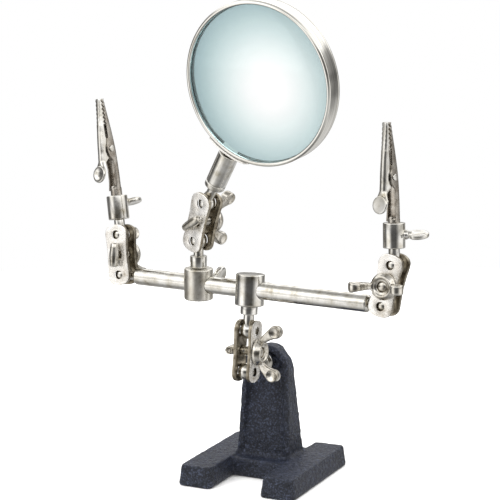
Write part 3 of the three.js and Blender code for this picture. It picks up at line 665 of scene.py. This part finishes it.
def wing_nut():
    """A shallow dished nut about +Y from y = 0, with thick wings that end in dished discs."""
    hub = lathe(rounded([
        (2.12, 0), (4.9, 0), (5.3, 0.5), (5.3, 1.5), (4.7, 2.6), (4.2, 3.4), (3.5, 3.4), (3.0, 2.8), (2.12, 2.6),
    ], 0.3), "y", 56)
    wings = []
    reach, rise, tip, turn = WING_REACH, WING_RISE, WING_TIP_RADIUS, -1.1
    dish, dish_depth = 2.1, 0.55
    for side in (1, -1):
        outline = [(3.4, 0.9), (5.0, 0.9)]
        for k in range(1, 6):
            t = k / 6
            ex, ez = reach + tip * math.cos(turn), rise + tip * math.sin(turn)
            outline.append((
                5.0 * (1 - t) ** 2 + 6.9 * 2 * t * (1 - t) + ex * t * t,
                0.9 * (1 - t) ** 2 + 2.3 * 2 * t * (1 - t) + ez * t * t,
            ))
        outline += arc_points(reach, rise, tip, tip, turn, math.pi, 18)
        outline += [(5.4, 6.0), (4.7, 4.6), (4.1, 3.6), (3.4, 2.7)]
        wing = slab(outline, [], -1.3, 1.3, 0.7)
        for vert in wing.verts:
            vert.co.y *= 1 + 0.5 * max(0.0, min(1.0, (vert.co.x - 5) / 4))
        wing.transform(Matrix(((side, 0, 0, 0), (0, 0, 1, 0), (0, side, 0, 0), (0, 0, 0, 1))))
        wings.append(wing)
    bm = cast([hub, *wings], FINE_VOXEL, 3)
    for vert in bm.verts:
        x, y, z = vert.co
        away = math.hypot(abs(x) - reach + 0.1, y - rise + 0.1)
        if away < dish:
            vert.co.z -= math.copysign(dish_depth * (1 - (away / dish) ** 2) ** 0.8, z)
    return bm


def clamp(body, lower, upper, across, nut_joint, nut_body):
    """The plates, bolt and wing nut between two ball centres, named after their body. The bolt lies across."""
    z = (upper - lower).normalized()
    at = frame_at(lower, z, across.cross(z))
    for place, side in (("front", -1), ("back", 1)):
        name = f"{body}_plate_{place}"
        # The plates' edges, inner faces and hole walls get the darker material: tarnish on the edges, painted shade
        # between the plates.
        piece(name, clamp_plate(side), at, body, SHEET, name, edge_material=TARNISH_AND_SHADE)
    nut_axis, nut_origin = axis(nut_joint), point(nut_joint)
    middle = shifted(at, z=BALL_SPACING / 2)
    head = widest(f"{body}_bolt", middle.translation, nut_axis)
    bolt_at = frame_at(middle.translation, head, nut_axis.cross(head))
    piece(f"{body}_bolt", clamp_bolt(), bolt_at, body, CAST, f"{body}_bolt")
    wing = widest(f"{body}_wing_nut", nut_origin, nut_axis)
    nut_at = frame_at(nut_origin, wing.cross(nut_axis), wing)
    name = f"{body}_wing_nut"
    piece(name, wing_nut_mesh.copy(), nut_at, nut_body, CAST, name, SOFT)


# ------------------------------------------------------------------ thumb screws, sleeves and sockets

def thumb_screw(tip, blade, half=4.7, thick=1.25):
    """A screw about +Y from tip, with a spade blade in X and Y that starts at blade."""
    shank = lathe(rounded([
        (0, tip), (1.25, tip), (1.6, tip + 0.4), (1.6, blade - 1.6), (1.9, blade - 1.2), (1.9, blade - 0.3),
        (1.5, blade + 0.4), (1.5, blade + 1.6), (0, blade + 1.6),
    ], 0.2), "y", 40)
    outline = [(1.3, 0.2), (half * 0.5, 0.5), (half * 0.77, 1.3)]
    outline += arc_points(0, 3.7, half, 4.5, -0.35, math.pi + 0.35, 26)
    outline += [(-half * 0.77, 1.3), (-half * 0.5, 0.5), (-1.3, 0.2)]
    plate = slab(outline, [], -thick, thick, thick * 0.64)
    plate.transform(Matrix(((1, 0, 0, 0), (0, 0, 1, blade), (0, 1, 0, 0), (0, 0, 0, 1))))
    bm = cast([shank, plate], FINE_VOXEL, 2)
    for vert in bm.verts:
        away = math.hypot(vert.co.x / (half - 1.2), (vert.co.y - blade - 3.9) / 3.2)
        if away < 1:
            vert.co.z -= math.copysign(0.4 * thick * (1 - away ** 2), vert.co.z)
    return bm


def add_thumb_screw(joint, node, body, screw):
    """Sets a thumb screw on the axis of its joint, with its blade turned as in the CAD node."""
    out, origin = axis(joint), point(joint)
    wide = widest(node, origin, out)
    piece(node, screw, frame_at(origin, wide.cross(out), wide), body, CHROME, node, SOFT)


def screw_hole(out, at, radius, start, end):
    """A round cutter along the direction out, from the origin of the frame at."""
    local = at.inverted().to_3x3() @ out
    bm = lathe([(0, start), (radius, start), (radius, end), (0, end)], "y", 40)
    bm.transform(Vector((0, 1, 0)).rotation_difference(local).to_matrix().to_4x4())
    return bm


def sleeve(name, at, stud_side, out, material):
    """A barrel with rounded rims, bored across for the rod."""
    end = stud_side * SLEEVE_HALF
    deep = end - stud_side * 2
    profile = [(0, -end), (SLEEVE_RADIUS, -end), (SLEEVE_RADIUS, end), (STUD_BORE, end), (STUD_BORE, deep), (0, deep)]
    barrel = lathe(rounded(profile, 0.75, 5), "z", 96)
    bore = ROD_RADIUS + BORE_CLEARANCE
    bm = boolean(barrel, lathe([(0, -8), (bore, -8), (bore, 8), (0, 8)], "x", 96))
    bm = boolean(bm, screw_hole(out, at, SCREW_BORE, 0.0, 8.0))
    piece(name, bm, at, name, material, name)


def socket(name, at, screw):
    """The holder of a clip: a barrel bored for the tail above, for the spigot below and for its screw."""
    top = SOCKET_LENGTH
    floor = top - SOCKET_BORE_DEPTH
    profile = [
        (0, 1.3), (STUD_BORE, 1.3), (STUD_BORE, 0), (SOCKET_RADIUS, 0), (SOCKET_RADIUS, top),
        (SOCKET_BORE_RADIUS, top), (SOCKET_BORE_RADIUS, floor), (0, floor),
    ]
    barrel = lathe(rounded(profile, 0.45, 4), "z", 80)
    hole = screw_hole(axis(screw), at, SCREW_BORE, 1.0, 6.0)
    hole.transform(Matrix.Translation((at.inverted() @ point(screw)) / MM))
    piece(name, boolean(barrel, hole), at, name, CHROME, name)


# ------------------------------------------------------------------ alligator clips

def between(table, z):
    """Smooth value at z from a table of (z, values...) rows."""
    if z <= table[0][0]:
        return table[0][1:]
    for low, high in zip(table, table[1:]):
        if z <= high[0]:
            t = (z - low[0]) / (high[0] - low[0])
            t = t * t * (3 - 2 * t) * 0.5 + t * 0.5
            return tuple(a + (b - a) * t for a, b in zip(low[1:], high[1:]))
    return table[-1][1:]


def quarter(steps):
    """Angles of a quarter turn."""
    return [math.pi / 2 * k / steps for k in range(steps + 1)]


def sheet_channel(rows, corner=1.1, roundness=0.6):
    """A folded channel through rows of (z, half width, open edge, closed face)."""
    rings = []
    for z, half, opened, closed in rows:
        inward = math.copysign(1, opened - closed)
        depth = abs(opened - closed)
        c = min(corner, half * roundness, depth * 0.7)
        floor = min(SHEET_THICKNESS, max(depth - 0.15, 0.1))
        inner = max(min(c - floor, half - SHEET_THICKNESS - 0.05), 0.05)
        outer = [(c * (1 - math.cos(a)), c * (1 - math.sin(a))) for a in quarter(5)]
        fold = [(inner * (1 - math.cos(a)), floor + inner * (1 - math.sin(a))) for a in quarter(2)]
        wall = half - SHEET_THICKNESS
        ring = [(-half, opened)]
        ring += [(-half + x, closed + inward * y) for x, y in outer]
        ring += [(half - x, closed + inward * y) for x, y in reversed(outer)]
        ring += [(half, opened), (wall, opened)]
        ring += [(wall - x, closed + inward * y) for x, y in fold]
        ring += [(-wall + x, closed + inward * y) for x, y in reversed(fold)]
        ring.append((-wall, opened))
        rings.append([(x, y, z) for x, y in ring])
    return loft(rings)


def jaw_rows(table, half, closed, bite_gap):
    """Dense rows of one jaw: its open edge follows the table, then the teeth to the tip."""
    start = table[0][0]
    rows = []
    count = int((TEETH_START - start) / ROW_STEP)
    for i in range(count):
        z = start + (TEETH_START - start) * i / count
        rows.append((z, half(z), between(table, z)[0], closed(z)))
    for i in range(2 * TEETH + 1):
        z = TEETH_START + (TIP_Z - TEETH_START) * i / (2 * TEETH)
        bite = -4.3 + (TIP_Z - z) * 0.03 + bite_gap
        rows.append((z, half(z), bite + (-0.35 if i % 2 else 0.35), closed(z)))
    return rows


def pivot_hole():
    """The cutter for the pin's hole through a jaw."""
    bm = lathe([(0, -5), (0.9, -5), (0.9, 5), (0, 5)], "x", 24)
    bm.transform(Matrix.Translation((0, PIVOT_Y, PIVOT_Z)))
    return bm


def fixed_jaw():
    """The jaw that stays on the clip's tail."""
    table = [
        (0.4, -1.6), (4, -1.2), (9, -1.2), (12.5, -1.9), (15, -4.0), (16.4, -4.6), (18.6, -4.6), (20.5, -4.0),
        (23, -3.6), (28, -3.75),
    ]
    rows = jaw_rows(table, lambda z: 2.6 - 0.045 * max(0, z - 18), lambda z: 1.1 - 0.0029 * z ** 2, 0.25)
    tail = [(0, -TAIL_LENGTH), (TAIL_RADIUS, -TAIL_LENGTH), (TAIL_RADIUS, 1.4), (1.65, 2.4), (0, 2.4)]
    whole = boolean(sheet_channel(rows), lathe(rounded(tail, 0.4), "z", 48), "UNION")
    return boolean(whole, pivot_hole())


def moving_jaw(dimple):
    """The jaw that swings, with its long ridge and round finger pad."""
    table = [
        (6.4, -7.7), (9.6, -7.0), (11.2, -6.3), (13, -4.6), (14.8, -1.9), (16.2, -1.2), (18.8, -1.2), (20.4, -2.4),
        (22.4, -4.5), (28, -4.75),
    ]
    ridge = [(6.4, -8.55), (9.6, -7.95), (11.2, -7.75), (13, -7.55), (16.2, -7.3), (17, -7.3), (TIP_Z, -5.47)]

    def half(z):
        return min(3.1, 1.7 - 0.022 * max(0, z - 20) + 0.1 * max(0, 12.4 - z) ** 2)

    rows = jaw_rows(table, half, lambda z: between(ridge, z)[0], -0.25)
    body = sheet_channel(rows, corner=1.6, roundness=0.92)
    dish = [(0, 0.1), (1.1, 0.02), (1.9, -0.3), (2.3, -0.5)] if dimple else [(0, -0.42), (2.3, -0.45)]
    edge = [(PAD_RADIUS - 0.3, -0.5), (PAD_RADIUS, -0.15), (PAD_RADIUS, 0.3), (PAD_RADIUS - 0.4, 0.55), (0, 0.5)]
    pad = lathe(rounded([*dish, *edge], 0.22), "y", 56)
    pad.transform(Matrix.Translation(PAD_CENTRE) @ Matrix.Rotation(math.radians(-PAD_TILT), 4, "X"))
    return boolean(boolean(body, pad, "UNION"), pivot_hole())


def pivot_pin():
    bm = lathe(rounded([
        (0, -3.2), (1.2, -3.2), (1.35, -2.75), (0.8, -2.75), (0.8, 2.75), (1.35, 2.75), (1.2, 3.2), (0, 3.2),
    ], 0.15), "x", 32)
    bm.transform(Matrix.Translation((0, PIVOT_Y, PIVOT_Z)))
    return bm


def torsion_spring():
    """The coil round the pin."""
    count = 96
    path = []
    for i in range(count + 1):
        t = i / count
        a = -0.6 + 2 * math.pi * SPRING_TURNS * t
        y, z = PIVOT_Y + SPRING_COIL * math.cos(a), PIVOT_Z + SPRING_COIL * math.sin(a)
        path.append(Vector((-0.85 + 1.7 * t, y, z)))
    return tube(path, SPRING_WIRE)


def clip(side, dimple):
    """Everything above the upper ball of an end clamp."""
    ball, up = point(f"{side}_clip_stud_lean"), axis(f"{side}_socket_turn")
    wide = axis(f"{side}_jaw_open")
    at = frame_at(ball, up, wide)
    name = f"{side}_clip_ball_stud"
    neck = [(SHANK_RADIUS, 6.1), (SPIGOT_RADIUS, 6.1), (SPIGOT_RADIUS, 7.3), (0, 7.3)]
    piece(name, stud(SHANK_RADIUS, neck), at, f"{side}_clip_stud", CHROME, name)
    screw = f"{side}_thumb_screw_spin"
    socket(f"{side}_clip_socket", shifted(at, z=SOCKET_START), screw)
    jaws = shifted(frame_at(point(f"{side}_jaw_open"), up, wide), y=-PIVOT_Y, z=-PIVOT_Z)
    body = f"{side}_clip"
    name = f"{side}_clip_fixed_jaw"
    piece(name, fixed_jaw(), jaws, body, DARK_SHEET, name)
    name = f"{side}_clip_moving_jaw"
    piece(name, moving_jaw(dimple), jaws, f"{side}_clip_jaw", CHROME, name)
    name = f"{side}_clip_pin"
    piece(name, pivot_pin(), jaws, body, CHROME, name)
    name = f"{side}_clip_spring"
    piece(name, torsion_spring(), jaws, body, SPRING, name)
    small = thumb_screw(2.65, CLIP_BLADE_START, 3.8, 0.9)
    add_thumb_screw(screw, f"{side}_clip_thumb_screw", f"{side}_clip_screw", small)


# ------------------------------------------------------------------ base

def base():
    """The casting, softened and roughened from its CAD solid, and its nut and stud."""
    bm = bmesh.new()
    bm.from_mesh(frame["nodes"]["base_casting"].data)
    bm.transform(Matrix.Scale(1 / MM, 4))
    bmesh.ops.remove_doubles(bm, verts=bm.verts, dist=0.001)
    bm = cast([bm], FOOT_VOXEL, 4)
    bm.normal_update()
    for vert in bm.verts:
        p = vert.co
        rough = noise.fractal(p * 0.55, 1.0, 2.0, 3) * 0.16 + noise.noise(p * 1.7) * 0.07
        if p.z > 0.6:
            vert.co += vert.normal * rough
        vert.co.z = max(vert.co.z, 0.0)
    piece("base_casting", bm, Matrix.Identity(4), "base", PAINT, "base_casting", math.radians(70))
    ball, out = point("base_stud_swivel"), axis("base_stud_swivel")
    low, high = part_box("base_stud_nut")
    centre = (low + high) / 2
    corner = 4.4
    hexagon = [(corner * math.cos(math.pi * i / 3), corner * math.sin(math.pi * i / 3)) for i in range(6)]
    dense = []
    for a, b in zip(hexagon, hexagon[1:] + hexagon[:1]):
        dense += [(a[0] + (b[0] - a[0]) * k / 4, a[1] + (b[1] - a[1]) * k / 4) for k in range(4)]
    nut = slab(dense, [circle(0, 0, 2.62, 32)], -1.6, 1.6, 0.3)
    at = frame_at(centre, UP, Vector((1, 0, 0)))
    piece("base_stud_nut", nut, at, "base", CHROME, "base_stud_nut")
    seat = BOSS_FRONT - ball.y / MM - COLLAR_GAP
    end = BOSS_BACK - ball.y / MM + BASE_STUD_END
    thread = STUD_THREAD_RADIUS
    neck = [
        (SHANK_RADIUS, seat - 3.4), (4, seat - 3.4), (4, seat), (thread, seat), (thread, seat + 7),
        *ridged(thread, seat + 7.2, end - 0.5), (1.8, end), (0, end),
    ]
    at = frame_at(ball, UP, out.cross(UP))
    name = "base_ball_stud"
    piece(name, stud(SHANK_RADIUS, neck, "y"), at, name, CHROME, name)


# ------------------------------------------------------------------ magnifier

def rim():
    """The metal ring: a rolled front lip, a flat band with a fine groove and a rolled back edge."""
    f, b = -RIM_HALF_DEPTH, RIM_HALF_DEPTH
    band = [
        (RIM_LIP, f + 0.45), (RIM_LIP + 0.3, f), (RIM_OUTER - 0.6, f), (RIM_OUTER, f + 0.6), (RIM_OUTER, b - 1.3),
        (RIM_OUTER - 0.14, b - 1.15), (RIM_OUTER, b - 1.0), (RIM_OUTER, b - 0.4), (RIM_OUTER - 0.35, b),
        (RIM_INNER + 0.25, b), (RIM_INNER, b - 0.25),
        (RIM_INNER, f + 1.05), (RIM_LIP, f + 1.05),
    ]
    return lathe(rounded(band, 0.22), "y", 180)


def lens():
    """A biconvex lens about Y."""
    count = 24
    front = []
    for i in range(count + 1):
        height = LENS_EDGE + LENS_BULGE * (1 - (i / count) ** 2)
        front.append((LENS_RADIUS * i / count, LENS_MIDDLE - height))
    back = [(r, 2 * LENS_MIDDLE - y) for r, y in reversed(front)]
    return lathe(front + back, "y", 128)


def retaining_ring():
    """The open wire ring behind the lens."""
    count, gap = 144, 0.24
    path = []
    for i in range(count + 1):
        a = (gap - math.pi) / 2 + (2 * math.pi - gap) * i / count
        path.append(Vector((SNAP_RING_RADIUS * math.cos(a), 0.2, SNAP_RING_RADIUS * math.sin(a))))
    return tube(path, SNAP_RING_WIRE)


def saddle():
    """The curved strip under the rim, thinner towards its rounded ends."""
    inner, half_angle = RIM_OUTER + 0.3, math.radians(SADDLE_HALF_ANGLE)
    count = 40
    rings = []
    for i in range(count + 1):
        t = -1 + 2 * i / count
        a = -math.pi / 2 + t * half_angle
        half = SADDLE_HALF_WIDTH * (1 - max(0.0, abs(t) - 0.82) ** 2 * 14)
        depth = SADDLE_THICKNESS * (1 - 0.35 * abs(t) ** 3)
        section = (
            (0, -half + 0.12), (0, half - 0.12), (0.12, half), (depth - 0.25, half), (depth, half - 0.35),
            (depth, -half + 0.35), (depth - 0.25, -half), (0.12, -half),
        )
        rings.append([((inner + r) * math.cos(a), y, (inner + r) * math.sin(a)) for r, y in section])
    return loft(rings)


def magnifier():
    """The lens in its rim, with the saddle, the ferrule and the ball stud under it."""
    ball, up = point("magnifier_handle_lean"), axis("magnifier_head_turn")
    centre = ball + up * LENS_CENTRE * MM
    vertices = frame["nodes"]["magnifier_lens"].data.vertices
    middle = sum((v.co for v in vertices), Vector()) / len(vertices)
    normal = centre - middle
    normal = (normal - up * normal.dot(up)).normalized()
    at = frame_at(centre, up, normal.cross(up))
    head = "magnifier_head"
    # The lens's painted highlight is centred on a point beside the middle of its front face.
    glass = lens_glass(centre - normal * RIM_HALF_DEPTH * MM + normal.cross(up) * 0.005 + up * 0.001)
    piece("magnifier_rim", rim(), at, head, brushed("brushed_band", normal), "magnifier_rim")
    piece("magnifier_lens", lens(), at, head, glass, "magnifier_lens")
    piece("magnifier_retaining_ring", retaining_ring(), at, head, SPRING, "magnifier_retaining_ring")
    piece("magnifier_saddle", saddle(), at, head, SHEET, "magnifier_saddle")
    end = LENS_CENTRE - RIM_OUTER - 1.8
    start, radius = FERRULE_START, FERRULE_RADIUS
    profile = [
        (0, 10.2), (STUD_BORE, 10.2), (STUD_BORE, start), (radius, start), (radius, 10.0), (radius - 0.25, 10.25),
        (radius - 0.25, 10.55), (radius, 10.8), (radius, end), (0, end),
    ]
    ferrule = lathe(rounded(profile, 0.5, 4), "z", 72)
    piece("magnifier_ferrule", ferrule, shifted(at, z=-LENS_CENTRE), head, CHROME, "magnifier_ferrule")
    collared("magnifier_handle_ball_stud", ball, up, normal, "magnifier_handle_stud", 8.0, 2.6, 0.8, 2.1)


# ------------------------------------------------------------------ putting it together

wing_nut_mesh = wing_nut()
base()

rod_left, rod_right = point("left_end_stud_turn"), point("right_end_stud_turn")
along = (rod_right - rod_left).normalized()

clamp("base_clamp", point("base_clamp_tilt"), point("tee_stud_tilt"), axis("base_clamp_tilt"),
      "base_wing_nut_spin", "base_clamp_nut")
tee_up = axis("tee_sleeve_turn")
tee_seat = (point("tee_sleeve_turn") - point("tee_stud_tilt")).length / MM - SLEEVE_HALF - SLEEVE_GAP
collared("tee_ball_stud", point("tee_stud_tilt"), tee_up, along, "tee_ball_stud", tee_seat, 3.5, 3.3, 2.2)
tee_at = frame_at(point("tee_sleeve_turn"), tee_up, along)
sleeve("tee_sleeve", tee_at, -1, axis("tee_thumb_screw_spin"), CHROME)
add_thumb_screw("tee_thumb_screw_spin", "tee_thumb_screw", "tee_thumb_screw",
                thumb_screw(SCREW_TIP, TEE_BLADE_START))

length = (rod_right - rod_left).length / MM - 2 * END_REACH
rod_end = [
    (0, END_BORE), (END_BORE_RADIUS, END_BORE), (END_BORE_RADIUS, 0.25), (2.1, 0), (2.6, 0), (ROD_RADIUS, 0.9),
]
rod_profile = rod_end + [(radius, length - h) for radius, h in reversed(rod_end)]
rod_at = frame_at(rod_left + along * END_REACH * MM, along.cross(UP).cross(along), along)
piece("cross_rod", lathe(rounded(rod_profile, 0.25), "x", 80), rod_at, "rod", CHROME, "cross_rod")

for side, ball, inward, dimple in (("left", rod_left, along, True), ("right", rod_right, -along, False)):
    end_name = f"{side}_end_ball_stud"
    end_height = END_REACH + END_BORE - 0.6
    end_stud = stud(END_STUD_SHANK, [(END_STUD_SHANK, end_height), (0, end_height)])
    piece(end_name, end_stud, frame_at(ball, inward, UP), f"{side}_end_stud", CHROME, end_name)
    clamp(f"{side}_clamp", ball, point(f"{side}_clip_stud_lean"), axis(f"{side}_clamp_lean"),
          f"{side}_wing_nut_spin", f"{side}_clamp_nut")
    clip(side, dimple)

mag_ball = point("magnifier_clamp_lean")
mag_centre = point("magnifier_sleeve_turn")
mag_up = (mag_ball - mag_centre).normalized()
sleeve("magnifier_sleeve", frame_at(mag_centre, mag_up, along), 1,
       axis("magnifier_thumb_screw_spin"), SATIN)
add_thumb_screw("magnifier_thumb_screw_spin", "magnifier_thumb_screw", "magnifier_thumb_screw",
                thumb_screw(SCREW_TIP, MAG_BLADE_START))
mag_seat = (mag_ball - mag_centre).length / MM - SLEEVE_HALF - SLEEVE_GAP
collared("magnifier_ball_stud", mag_ball, -mag_up, along, "magnifier_stud", mag_seat, 3.4, 4.8, 2.0)
clamp("magnifier_clamp", mag_ball, point("magnifier_handle_lean"), axis("magnifier_clamp_lean"),
      "magnifier_wing_nut_spin", "magnifier_clamp_nut")
magnifier()
wing_nut_mesh.free()


# ------------------------------------------------------------------ floor, light and camera

def stage_floor():
    """A pale round floor that bright metal doesn't mirror."""
    mesh = bpy.data.meshes.new("floor")
    bm = bmesh.new()
    bmesh.ops.create_circle(bm, cap_ends=True, segments=64, radius=FLOOR_RADIUS)
    bm.transform(Matrix.Translation((0, 0, -0.0002)))
    bm.to_mesh(mesh)
    bm.free()
    floor = bpy.data.objects.new("floor", mesh)
    bpy.context.scene.collection.objects.link(floor)
    n = Nodes("floor")
    mesh.materials.append(n.wire(Base_Color=(0.92, 0.92, 0.92, 1), Roughness=0.7))
    floor.visible_glossy = False


def area_light(name, place, target, side, power):
    """A square soft light at place, aimed at target, that bright metal doesn't mirror."""
    data = bpy.data.lights.new(name, "AREA")
    data.shape = "RECTANGLE"
    data.size = data.size_y = side
    data.energy = power
    light = bpy.data.objects.new(name, data)
    light.visible_glossy = False
    light.location = place
    light.rotation_euler = (Vector(target) - Vector(place)).to_track_quat("-Z", "Y").to_euler()
    bpy.context.scene.collection.objects.link(light)


def world():
    """A studio surround: white behind the object and through its lens, and in reflections a bright ceiling, a dim
    horizon and upright soft strips."""
    surround = bpy.data.worlds.new("studio")
    bpy.context.scene.world = surround
    surround.use_nodes = True
    tree = surround.node_tree

    def add(kind, inputs, **settings):
        return add_node(tree, kind, inputs, **settings)

    def ramp(value, stops):
        node = add_ramp(tree, value, [(position, (level, level * 0.99, level * 0.975)) for position, level in stops])
        node.color_ramp.interpolation = "EASE"
        return node.outputs["Color"]

    def degrees(socket, low, high):
        inputs = {"Value": socket, "From Min": math.radians(low), "From Max": math.radians(high)}
        return add("ShaderNodeMapRange", inputs).outputs["Result"]

    split = add("ShaderNodeSeparateXYZ", {0: add("ShaderNodeTexCoord", {}).outputs["Generated"]}).outputs
    height = add("ShaderNodeMath", {0: split["Z"]}, operation="ARCSINE").outputs[0]
    round_about = add("ShaderNodeMath", {0: split["Y"], 1: split["X"]}, operation="ARCTAN2").outputs[0]
    ceiling = ramp(degrees(height, -90, 90), CEILING)
    strips = ramp(degrees(round_about, -180, 180), STRIPS)
    low_down = ramp(degrees(height, -90, 90), LOW_DOWN)
    standing = add("ShaderNodeMixRGB", {"Fac": 1.0, "Color1": strips, "Color2": low_down}, blend_type="MULTIPLY")
    whole = add("ShaderNodeMixRGB", {"Fac": 1.0, "Color1": ceiling, "Color2": standing.outputs[0]}, blend_type="ADD")
    path = add("ShaderNodeLightPath", {}).outputs
    seen = add("ShaderNodeMath", {0: path["Is Camera Ray"], 1: path["Is Transmission Ray"]}, operation="MAXIMUM")
    shown = add("ShaderNodeMixRGB", {"Fac": seen.outputs[0], "Color1": whole.outputs[0], "Color2": (1, 1, 1, 1)})
    tree.links.new(shown.outputs[0], tree.nodes["Background"].inputs["Color"])


stage_floor()
world()
area_light("key", (-0.7, -0.9, 1.2), (0, 0, 0.08), 0.8, 14)
area_light("top", (0.1, 0.3, 1.4), (0, 0, 0), 1.4, 24)

camera_data = bpy.data.cameras.new("camera")
camera_data.lens = FOCAL_LENGTH
camera_data.sensor_width = SENSOR_WIDTH
camera = bpy.data.objects.new("camera", camera_data)
camera.location = CAMERA_PLACE
camera.rotation_euler = (Vector(CAMERA_AIM) - camera.location).to_track_quat("-Z", "Y").to_euler()
bpy.context.scene.collection.objects.link(camera)
bpy.context.scene.camera = camera
bpy.context.scene.view_settings.view_transform = "Standard"
